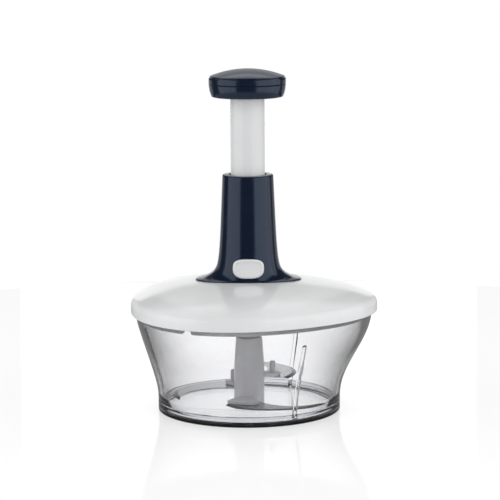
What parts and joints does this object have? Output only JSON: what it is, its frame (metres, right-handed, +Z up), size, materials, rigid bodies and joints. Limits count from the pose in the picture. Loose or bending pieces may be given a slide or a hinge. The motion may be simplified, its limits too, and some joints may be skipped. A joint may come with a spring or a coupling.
{
  "type": "hand press food chopper",
  "caption": "Hand-press food chopper: clear lobed bowl with a staircase blade rotor, domed lid, and a tower whose press knob spins the rotor through a twisted strip.",
  "frame": {"origin": "centre of the bowl's flat underside, on the rotor's axis", "axes": "+Z up along the rotor and knob axis; -Y is the front, where the lock button is; a lobe of the rim points to +X"},
  "size_m": [0.2, 0.2014, 0.2765],
  "materials": {
    "clear_smoke": "clear moulded plastic with a slight smoke tint, polished",
    "dark_foot": "satin non-slip rubber",
    "steel": "plain machined",
    "blade_steel": "ground and polished",
    "spring_steel": "drawn wire",
    "hub_grey": "translucent grey, satin",
    "inner_white": "natural acetal",
    "bronze": "oil-filled sintered bronze",
    "lid_white": "polished off-white",
    "skirt_grey": "soft translucent grey",
    "seal_grey": "silicone",
    "navy": "high-gloss dark navy",
    "tube_white": "glossy off-white"
  },
  "bodies": {
    "bowl": {"bowl": "clear_smoke", "foot_ring": "dark_foot", "bowl_pin": "steel"},
    "blade": {"blade_hub": "hub_grey", "lower_blade": "blade_steel", "middle_blade": "blade_steel", "upper_blade": "blade_steel", "lower_pad": "hub_grey", "middle_pad": "hub_grey", "upper_pad": "hub_grey"},
    "lid": {"lid_cover": "lid_white", "lid_skirt": "skirt_grey", "seal_ring": "seal_grey", "tower": "navy", "tower_collar": "navy", "drive_housing": "inner_white", "housing_cover": "inner_white", "spindle_bush": "bronze", "thrust_washer": "steel", "nut_washer": "steel", "cover_screw_1": "steel", "cover_screw_2": "steel", "cover_screw_3": "steel", "tower_screw_1": "steel", "tower_screw_2": "steel", "tower_screw_3": "steel", "spring_seat": "steel", "return_spring": "spring_steel"},
    "nut": {"drive_nut": "inner_white"},
    "spindle": {"drive_spindle": "inner_white"},
    "plunger": {"plunger_tube": "tube_white", "knob_body": "navy", "knob_cap": "navy", "knob_screw": "steel", "twist_strip": "steel", "strip_anchor": "inner_white"},
    "lock": {"lock_button": "tube_white"}
  },
  "joints": [
    {"name": "lid_lift", "type": "slide", "parent": "bowl", "child": "lid", "axis": [0, 0, 1], "range_m": [0, 0.12]},
    {"name": "plunger_press", "type": "slide", "parent": "lid", "child": "plunger", "axis": [0, 0, -1], "range_m": [0, 0.054], "stiffness_N_per_m": 220, "springref_m": -0.03, "deforming": ["return_spring"]},
    {"name": "lock_press", "type": "slide", "parent": "lid", "child": "lock", "axis": [0, 1, 0], "range_m": [0, 0.003], "stiffness_N_per_m": 400, "springref_m": -0.002},
    {"name": "nut_spin", "type": "hinge", "parent": "lid", "child": "nut", "pos_m": [0, 0, 0.091], "axis": [0, 0, 1], "range_deg": [-542, 0]},
    {"name": "spindle_spin", "type": "hinge", "parent": "lid", "child": "spindle", "pos_m": [0, 0, 0.07], "axis": [0, 0, 1], "range_deg": [-542, 0]},
    {"name": "blade_spin", "type": "hinge", "parent": "bowl", "child": "blade", "pos_m": [0, 0, 0.01], "axis": [0, 0, 1], "range_deg": [-542, 0]}
  ],
  "couplings": [
    {"joint": "nut_spin", "follows": "plunger_press", "rad_per_m": -174.53},
    {"joint": "spindle_spin", "follows": "plunger_press", "rad_per_m": -174.53},
    {"joint": "blade_spin", "follows": "plunger_press", "rad_per_m": -174.53}
  ]
}
